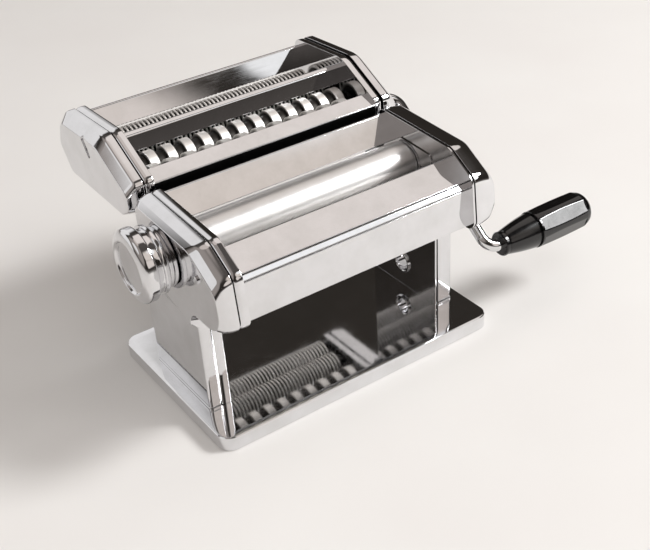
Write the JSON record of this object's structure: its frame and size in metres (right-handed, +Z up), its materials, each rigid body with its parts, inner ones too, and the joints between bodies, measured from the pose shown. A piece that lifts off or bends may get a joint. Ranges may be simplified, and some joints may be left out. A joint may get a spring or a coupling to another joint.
{
  "type": "hand cranked pasta machine",
  "caption": "Table pasta machine with smooth rollers in a chromed head, adjusting knob, rear cutting attachment and a bent crank with a black grip.",
  "frame": {"origin": "middle of the base plate's underside, in the plane it stands on", "axes": "+X along the rollers towards the crank, +Y to the back, +Z up"},
  "size_m": [0.321, 0.1943, 0.1562],
  "materials": {
    "chrome": "mirror polished",
    "satin_aluminium": "satin",
    "steel": "bright",
    "bearing_plastic": "matte",
    "black_grip": "gloss"
  },
  "bodies": {
    "frame": {"base_plate": "chrome", "base_screws": "steel", "outer_panel_left": "chrome", "inner_panel_left": "chrome", "outer_panel_right": "chrome", "inner_panel_right": "chrome", "clamp_sleeve": "chrome", "support_bar": "steel", "front_tie_rod": "steel", "roller_bushes": "bearing_plastic", "front_deck": "chrome", "front_apron": "chrome", "rear_deck": "chrome", "front_scraper": "bearing_plastic", "rear_scraper": "bearing_plastic", "index_plate": "chrome", "index_stud": "chrome"},
    "front_roller": {"front_roller": "satin_aluminium", "front_roller_gear": "steel"},
    "carriage": {"bearing_blocks": "bearing_plastic"},
    "rear_roller": {"rear_roller": "satin_aluminium", "rear_roller_gear": "steel"},
    "adjuster": {"adjuster_spindle": "steel"},
    "knob": {"knob": "chrome"},
    "attachment": {"cap_outer_left": "chrome", "cap_outer_right": "chrome", "cap_inner_left": "chrome", "cap_inner_right": "chrome", "cutter_bushes": "bearing_plastic", "front_guard": "chrome", "divider": "chrome", "back_guard": "chrome", "hook_plates": "steel"},
    "wide_front": {"wide_cutter_front": "satin_aluminium", "wide_gear_front": "steel"},
    "wide_rear": {"wide_cutter_rear": "satin_aluminium", "wide_gear_rear": "steel"},
    "fine_front": {"fine_cutter_front": "satin_aluminium", "fine_gear_front": "steel"},
    "fine_rear": {"fine_cutter_rear": "satin_aluminium", "fine_gear_rear": "steel"},
    "crank": {"crank_rod": "chrome"},
    "grip": {"grip": "black_grip", "grip_plug": "black_grip"}
  },
  "joints": [
    {"name": "front_roller_turn", "type": "hinge", "parent": "frame", "child": "front_roller", "pos_m": [0, -0.03829, 0.10002], "axis": [1, 0, 0], "continuous": true},
    {"name": "roller_gap", "type": "slide", "parent": "frame", "child": "carriage", "axis": [0, 0.9781, 0.2079], "range_m": [-0.0042, 0]},
    {"name": "rear_roller_turn", "type": "hinge", "parent": "carriage", "child": "rear_roller", "pos_m": [0, -0.0064, 0.1068], "axis": [1, 0, 0], "continuous": true},
    {"name": "knob_turn", "type": "hinge", "parent": "frame", "child": "adjuster", "pos_m": [0, -0.0064, 0.1068], "axis": [1, 0, 0], "range_deg": [0, 324]},
    {"name": "knob_pull", "type": "slide", "parent": "adjuster", "child": "knob", "axis": [-1, 0, 0], "range_m": [0, 0.004], "stiffness_N_per_m": 1200, "springref_m": -0.003},
    {"name": "attachment_lift", "type": "slide", "parent": "frame", "child": "attachment", "axis": [0, 0, 1], "range_m": [0, 0.08]},
    {"name": "wide_front_turn", "type": "hinge", "parent": "attachment", "child": "wide_front", "pos_m": [0, 0.041, 0.127], "axis": [1, 0, 0], "continuous": true},
    {"name": "wide_rear_turn", "type": "hinge", "parent": "attachment", "child": "wide_rear", "pos_m": [0, 0.05925, 0.127], "axis": [1, 0, 0], "continuous": true},
    {"name": "fine_front_turn", "type": "hinge", "parent": "attachment", "child": "fine_front", "pos_m": [0, 0.0825, 0.127], "axis": [1, 0, 0], "continuous": true},
    {"name": "fine_rear_turn", "type": "hinge", "parent": "attachment", "child": "fine_rear", "pos_m": [0, 0.10075, 0.127], "axis": [1, 0, 0], "continuous": true},
    {"name": "crank_pull", "type": "slide", "parent": "wide_front", "child": "crank", "axis": [1, 0, 0], "range_m": [0, 0.03]},
    {"name": "grip_turn", "type": "hinge", "parent": "crank", "child": "grip", "pos_m": [0.15, -0.0555, 0.052], "axis": [1, 0, 0], "continuous": true}
  ],
  "couplings": [
    {"joint": "rear_roller_turn", "follows": "front_roller_turn", "ratio": -1},
    {"joint": "roller_gap", "follows": "knob_turn", "m_per_rad": -0.00074272},
    {"joint": "wide_rear_turn", "follows": "wide_front_turn", "ratio": -1},
    {"joint": "fine_rear_turn", "follows": "fine_front_turn", "ratio": -1}
  ]
}
